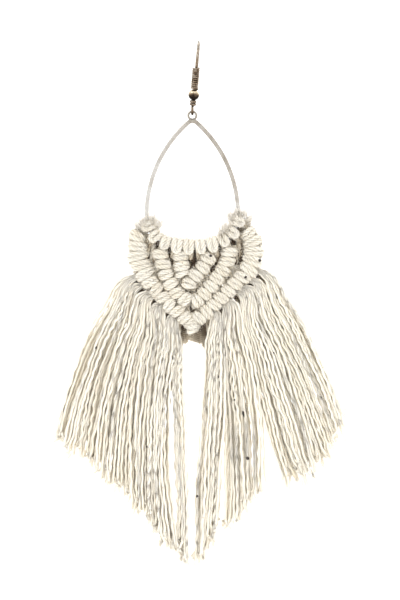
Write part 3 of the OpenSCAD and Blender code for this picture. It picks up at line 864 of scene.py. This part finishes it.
# Husks of cotton seed, seated on the front of the cotton
husks = {
    # place across and up from the loop and radius in mm, and stretch down
    "spots": [(4.96, -39.5, 0.42, 1.0), (18.2, -40.8, 0.46, 1.0), (14.4, -45.3, 0.34, 1.1),
              (13.86, -82.3, 0.36, 2.6), (14.9, -94.2, 0.42, 1.2), (1.3, -104.5, 0.34, 1.2),
              (-26.0, -64.3, 0.32, 1.2), (21.9, -65.8, 0.28, 1.3), (7.2, -72.2, 0.3, 1.2),
              (11.4, -78.4, 0.26, 1.3), (-12.2, -91.0, 0.24, 1.4)],
    "uneven": (0.86, 1.1), "flat": 0.6, "turn": 0.4,
    "front": 30,  # how far in front of the loop each search for the cotton starts, in mm
}
depsgraph = bpy.context.evaluated_depsgraph_get()
cotton = [piece for name, piece in pieces.items() if name.startswith(("fringe", "outer", "middle", "inner"))]
surfaces = [BVHTree.FromObject(piece, depsgraph) for piece in cotton]
work = bmesh.new()
for x, z, size, stretch in husks["spots"]:
    start = loopAt + fromLoop(x, z, -husks["front"]) * mm
    hits = [tree.ray_cast(start, Vector((0, 1, 0)), 2 * husks["front"] * mm) for tree in surfaces]
    hits = [hit for hit in hits if hit[0]]
    if not hits:
        continue
    at = min(hits, key=lambda hit: hit[3])[0]
    made = bmesh.ops.create_icosphere(work, subdivisions=2, radius=size * mm)["verts"]
    for vertex in made:
        vertex.co *= random.uniform(*husks["uneven"])
    bmesh.ops.scale(work, verts=made, vec=(1, husks["flat"], stretch))
    turn = Matrix.Rotation(random.uniform(-husks["turn"], husks["turn"]), 4, "Y")
    bmesh.ops.transform(work, verts=made, matrix=Matrix.Translation(at) @ turn)
mesh = smoothMesh("seedHusks", work)
mesh.materials.append(materials["husk"])
pieces["seedHusks"] = linkPiece("seedHusks", mesh)
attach(pieces["seedHusks"], "drop")
print("seed husks done")

# Metal: the coil is wound anew in round wire, the rest keeps its shape
coil = {
    "lean": 5.5, "drop": 18.656, "tilt": 18.536,  # of the shank, in degrees and mm, as in the source
    "foot": 5.85, "radius": 0.765, "wire": 0.285, "pitch": 0.57, "turns": 10, "steps": 28,
}
hook = Matrix.Rotation(math.radians(coil["lean"]), 4, "Y") @ Matrix.Translation((0, 0, -coil["drop"]))
hook = hook @ Matrix.Rotation(math.radians(coil["tilt"]), 4, "X")
line = []
for i in range(coil["turns"] * coil["steps"] + 1):
    a = 2 * math.pi * i / coil["steps"]
    rise = coil["foot"] + i / coil["steps"] * coil["pitch"]
    place = Vector((coil["radius"] * math.cos(a), coil["radius"] * math.sin(a), rise))
    line.append(hook @ place - loopAt / mm)
runs = [(line, [coil["wire"]] * len(line), 0.5)]
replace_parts(makeTubes("hookCoil", runs, "wire", "bronze", "hook"), "wire_coil")
for node, finish in (("ear_wire", "bronze"), ("wire_bead", "bead"), ("teardrop_frame", "silver")):
    slots = frame["nodes"][node].data.materials
    slots.clear()
    slots.append(materials[finish])
print("metal done")

# Studio: a pale bowl, soft lights and the camera straight in front
studio = {
    "floor": -0.42, "radius": 1.6, "curve": 0.5, "wall": 1.5,  # of the bowl, in metres
    "steps": 12, "sides": 64,
    "tints": [(0.3, (0.80, 0.795, 0.785)), (0.7, (0.83, 0.825, 0.815))],
    "cloud": 2.0, "rough": 0.9, "glow": 0.41, "glowTint": (1, 0.995, 0.985, 1),
    "sky": 0.98, "skyTint": (1, 0.99, 0.975, 1),
    "lens": 85, "fill": 0.86,  # share of the picture's height that the earring takes
}
work = bmesh.new()
corner = studio["radius"] - studio["curve"]
edge = [work.verts.new((0, 0, studio["floor"]))]
for k in range(studio["steps"] + 1):
    a = math.pi / 2 * k / studio["steps"]
    rise = studio["curve"] * (1 - math.cos(a))
    edge.append(work.verts.new((corner + studio["curve"] * math.sin(a), 0, studio["floor"] + rise)))
edge.append(work.verts.new((studio["radius"], 0, studio["wall"])))
lines = [work.edges.new(pair) for pair in zip(edge, edge[1:])]
bmesh.ops.spin(work, geom=edge + lines, cent=(0, 0, 0), axis=(0, 0, 1), angle=2 * math.pi,
               steps=studio["sides"], use_merge=True)
bmesh.ops.remove_doubles(work, verts=work.verts, dist=0.001)
bmesh.ops.recalc_face_normals(work, faces=work.faces)
mesh = smoothMesh("studioBowl", work)
material, tree, shader = nodeMaterial("studioPaper")
place = addNode(tree, "ShaderNodeTexCoord", {}).outputs["Object"]
cloud = noiseTexture(tree, place, studio["cloud"], detail=2)
tree.links.new(colorRamp(tree, cloud, studio["tints"]), shader.inputs["Base Color"])
shader.inputs["Roughness"].default_value = studio["rough"]
shader.inputs["Emission Color"].default_value = studio["glowTint"]
shader.inputs["Emission Strength"].default_value = studio["glow"]
mesh.materials.append(material)
linkPiece("studioBowl", mesh)

low, high = (Vector(corner) for corner in cadBounds)
middle = (low + high) / 2
lights = {  # place from the middle of the earring and size in metres, power in watts
    "key": ((-0.6, -0.55, 0.75), 0.22, 1.45), "fill": ((0.75, -0.6, 0.1), 0.6, 0.5),
    "top": ((0.15, 0.1, 0.9), 0.4, 1.6), "back": ((0.3, 0.8, 0.5), 0.6, 1.6),
}
for name, (offset, size, power) in lights.items():
    light = bpy.data.lights.new(name, "AREA")
    light.size = size
    light.energy = power
    lamp = linkPiece(name, light)
    lamp.location = middle + Vector(offset)
    lamp.rotation_euler = (-Vector(offset)).to_track_quat("-Z", "Y").to_euler()
world = bpy.data.worlds.new("softSky")
world.use_nodes = True
sky = world.node_tree.nodes["Background"].inputs
sky[0].default_value = studio["skyTint"]
sky[1].default_value = studio["sky"]
bpy.context.scene.world = world
bpy.context.scene.view_settings.view_transform = "Standard"

camera = bpy.data.cameras.new("camera")
camera.lens = studio["lens"]
camera.sensor_width = 36
camera.clip_start = 0.01
away = (high.z - low.z) / studio["fill"] * studio["lens"] / camera.sensor_width
view = linkPiece("camera", camera)
view.location = middle + Vector((0, -away, 0))
view.rotation_euler = (math.pi / 2, 0, 0)
bpy.context.scene.camera = view
print("studio done")
